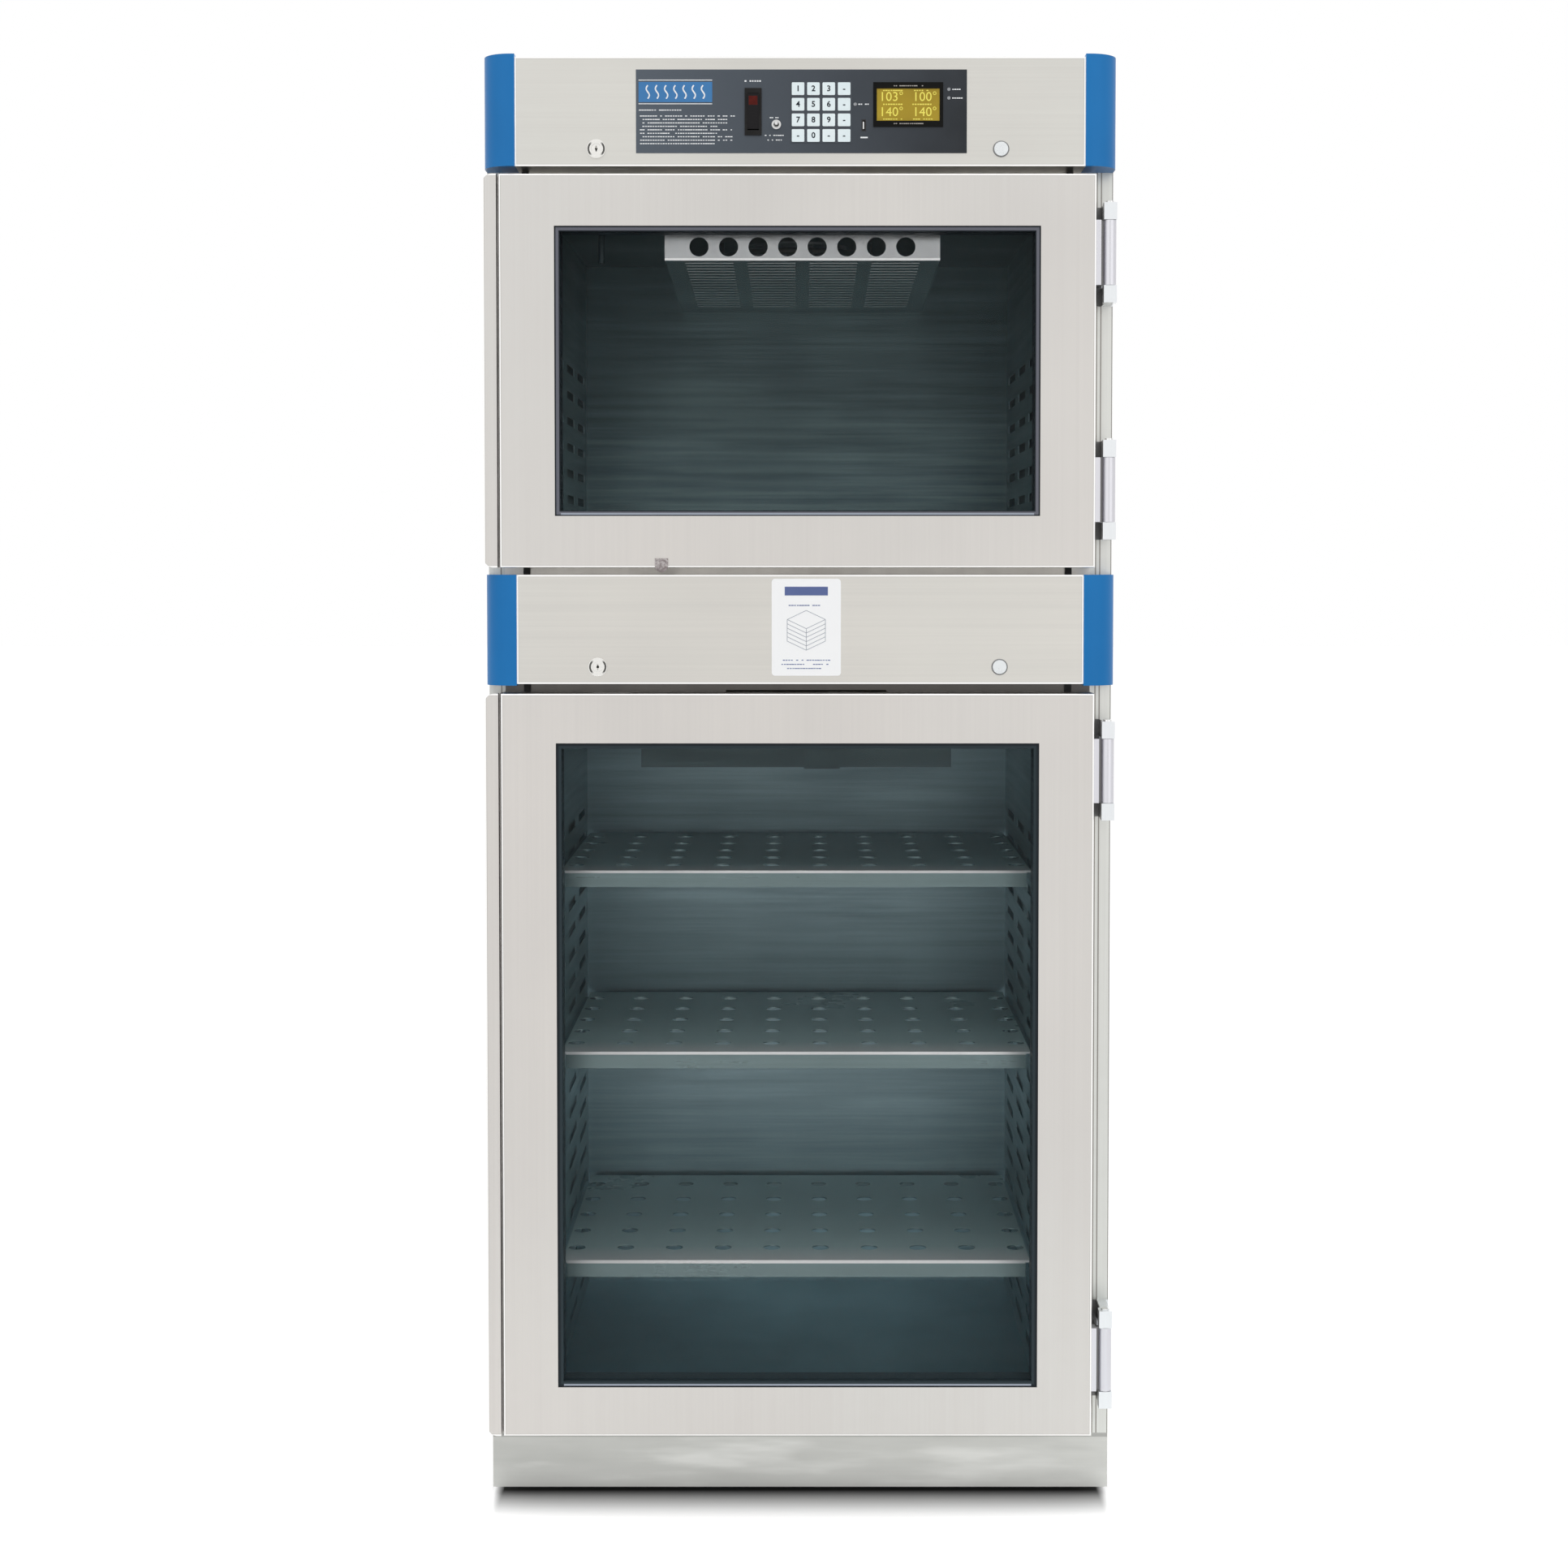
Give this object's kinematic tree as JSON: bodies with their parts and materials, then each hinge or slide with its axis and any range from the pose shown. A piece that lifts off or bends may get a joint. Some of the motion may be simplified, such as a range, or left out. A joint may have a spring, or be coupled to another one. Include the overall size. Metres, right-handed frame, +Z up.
{
  "type": "blanket warming cabinet",
  "caption": "Tall stainless warming cabinet: a short heated chamber over a tall one with shelves, glazed hinged doors, blue corner caps and a control panel.",
  "frame": {"origin": "centre of the footprint on the floor", "axes": "+X to the right seen from the front, -Y out of the doors, +Z up"},
  "size_m": [0.762, 0.683, 1.764],
  "materials": {
    "satin_stainless": "fine vertical grain, satin",
    "base_stainless": "coarser grain, slightly smudged",
    "liner_stainless": "mill finish",
    "blue_cap": "moulded, soft gloss",
    "clear_glass": "clear toughened glass",
    "black_trim": "matt extrusion",
    "black_rubber": "matt",
    "grey_plastic": "moulded",
    "slate_overlay": "printed polyester film",
    "pale_keys": "embossed polyester film",
    "black_plastic": "moulded",
    "lcd": "amber lit display",
    "lamp_lens": "clear lens",
    "bright_chrome": "polished",
    "cast_hinge": "satin plated",
    "label_white": "satin film",
    "mineral_wool": "foil faced wool",
    "galvanised": "galvanised",
    "motor_can": "black enamel",
    "element": "heat darkened",
    "board_green": "solder mask"
  },
  "bodies": {
    "cabinet": {"base_frame": "base_stainless", "foot_pads": "black_rubber", "outer_shell": "satin_stainless", "back_panel": "galvanised", "face_frame": "satin_stainless", "lower_liner": "liner_stainless", "upper_liner": "liner_stainless", "insulation": "mineral_wool", "lower_duct_panels": "liner_stainless", "upper_duct_panels": "liner_stainless", "shelf_bottom": "liner_stainless", "shelf_middle": "liner_stainless", "shelf_top": "liner_stainless", "shelf_brackets": "liner_stainless", "blower_motors": "motor_can", "heater_elements": "element", "upper_diffuser": "liner_stainless", "lower_plenum": "liner_stainless", "temperature_probes": "liner_stainless", "header_panel": "satin_stainless", "mid_band_panel": "satin_stainless", "header_caps": "blue_cap", "mid_band_caps": "blue_cap", "control_overlay": "slate_overlay", "switch_cases": "black_plastic", "keypad": "pale_keys", "lcd_bezel": "black_plastic", "lcd_screen": "lcd", "indicator_lamps": "lamp_lens", "data_port": "black_plastic", "control_board": "board_green", "power_supply": "galvanised", "lock_barrels": "bright_chrome", "hole_plugs": "bright_chrome", "label_plate": "label_white", "hinge_brackets": "cast_hinge", "hinge_pins": "bright_chrome", "door_seals": "black_rubber", "rear_cover": "galvanised", "rear_cover_screws": "bright_chrome", "power_inlet": "black_plastic"},
    "upper_door": {"upper_door_frame": "satin_stainless", "upper_door_liner": "liner_stainless", "upper_door_glass": "clear_glass", "upper_glazing_trim": "black_trim", "upper_handle": "satin_stainless", "upper_hinge_leaves": "cast_hinge", "upper_bumper": "grey_plastic"},
    "lower_door": {"lower_door_frame": "satin_stainless", "lower_door_liner": "liner_stainless", "lower_door_glass": "clear_glass", "lower_glazing_trim": "black_trim", "lower_handle": "satin_stainless", "lower_hinge_leaves": "cast_hinge"},
    "upper_blower": {"upper_blower_wheel": "galvanised"},
    "lower_blower": {"lower_blower_wheel": "galvanised"},
    "upper_lock": {"upper_lock_plug": "bright_chrome"},
    "lower_lock": {"lower_lock_plug": "bright_chrome"},
    "rocker": {"power_rocker": "black_plastic"},
    "toggle": {"toggle_lever": "bright_chrome"}
  },
  "joints": [
    {"name": "upper_door_hinge", "type": "hinge", "parent": "cabinet", "child": "upper_door", "pos_m": [0.372, -0.3237, 1.3863], "axis": [0, 0, 1], "range_deg": [0, 115]},
    {"name": "lower_door_hinge", "type": "hinge", "parent": "cabinet", "child": "lower_door", "pos_m": [0.372, -0.3237, 0.5453], "axis": [0, 0, 1], "range_deg": [0, 115]},
    {"name": "upper_lock_turn", "type": "hinge", "parent": "cabinet", "child": "upper_lock", "pos_m": [-0.2439, -0.3315, 1.6512], "axis": [0, 1, 0], "range_deg": [0, 90]},
    {"name": "lower_lock_turn", "type": "hinge", "parent": "cabinet", "child": "lower_lock", "pos_m": [-0.2439, -0.3315, 1.0309], "axis": [0, 1, 0], "range_deg": [0, 90]},
    {"name": "upper_blower_spin", "type": "hinge", "parent": "cabinet", "child": "upper_blower", "pos_m": [-0.0052, -0.0195, 1.5799], "axis": [0, 0, 1], "continuous": true},
    {"name": "lower_blower_spin", "type": "hinge", "parent": "cabinet", "child": "lower_blower", "pos_m": [-0.0052, -0.0195, 0.9526], "axis": [0, 0, 1], "continuous": true},
    {"name": "power_rocker_tilt", "type": "hinge", "parent": "cabinet", "child": "rocker", "pos_m": [-0.0562, -0.3273, 1.6952], "axis": [1, 0, 0], "range_deg": [0, 12]},
    {"name": "alarm_toggle_tilt", "type": "hinge", "parent": "cabinet", "child": "toggle", "pos_m": [-0.0285, -0.3265, 1.68], "axis": [1, 0, 0], "range_deg": [-12, 12]}
  ]
}
